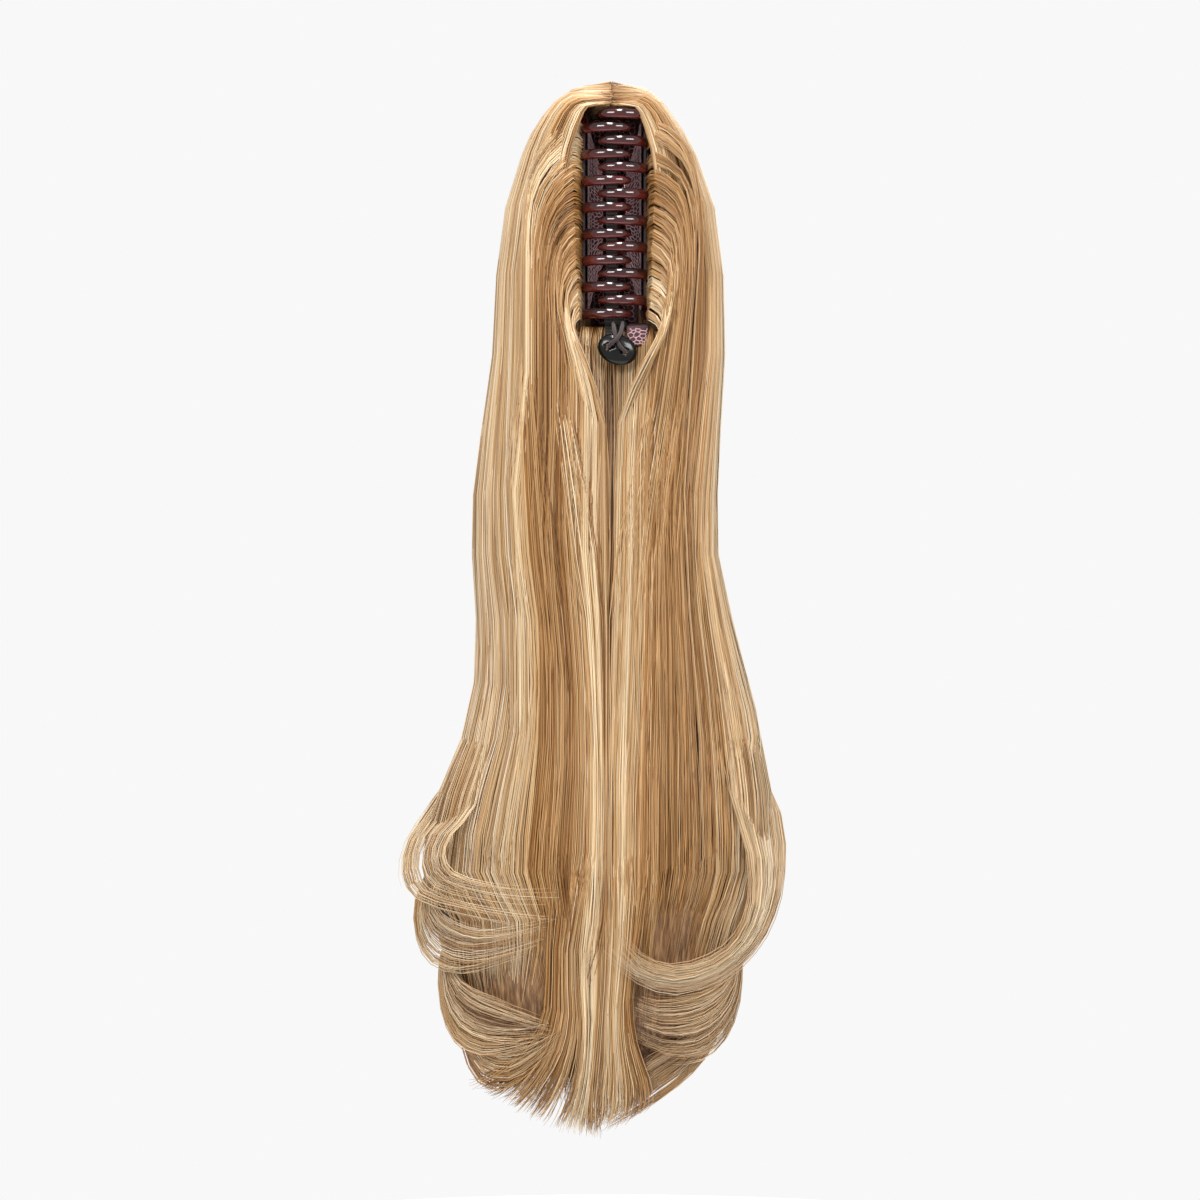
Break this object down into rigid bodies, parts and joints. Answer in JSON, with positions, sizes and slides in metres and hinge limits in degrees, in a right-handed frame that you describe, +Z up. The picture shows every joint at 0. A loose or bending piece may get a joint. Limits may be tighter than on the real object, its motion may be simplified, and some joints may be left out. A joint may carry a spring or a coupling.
{
  "type": "ponytail hairpiece",
  "caption": "Long wavy clip-on ponytail on a toothed jaw clip, with stretch net, a button and elastic, and curled ends.",
  "frame": {"origin": "middle of the space between the closed jaws, where the wearer's own gathered hair goes", "axes": "+Z up along the jaws and the fall of hair, -Y towards the wearer's head and the jaws' teeth, +X to the right as the teeth are looked at"},
  "size_m": [0.1665, 0.0871, 0.46],
  "materials": {
    "hair": "satin",
    "claw_plastic": "gloss",
    "net": "matte",
    "toggle_plastic": "gloss",
    "band": "matte",
    "elastic": "matte",
    "steel": "satin"
  },
  "bodies": {
    "root": {"hair_fall": "hair", "net_spine": "net", "net_flap": "net", "centre_band": "band", "toggle": "toggle_plastic", "elastic_loop": "elastic", "hinge_pin": "steel", "hinge_spring": "steel"},
    "jaw_left": {"jaw_left": "claw_plastic", "net_cover_left": "net", "net_lining_left": "net", "weft_left": "hair"},
    "jaw_right": {"jaw_right": "claw_plastic", "net_cover_right": "net", "net_lining_right": "net", "weft_right": "hair"}
  },
  "joints": [
    {"name": "jaw_right_hinge", "type": "hinge", "parent": "root", "child": "jaw_right", "pos_m": [0, 0.013, 0], "axis": [0, 0, 1], "range_deg": [0, 35], "stiffness_Nm_per_rad": 0.02, "springref_deg": -20.05, "deforming": ["weft_right"]},
    {"name": "jaw_left_hinge", "type": "hinge", "parent": "root", "child": "jaw_left", "pos_m": [0, 0.013, 0], "axis": [0, 0, 1], "range_deg": [-35, 0], "stiffness_Nm_per_rad": 0.02, "springref_deg": 20.05, "deforming": ["weft_left"]}
  ],
  "couplings": [
    {"joint": "jaw_left_hinge", "follows": "jaw_right_hinge", "ratio": -1}
  ]
}
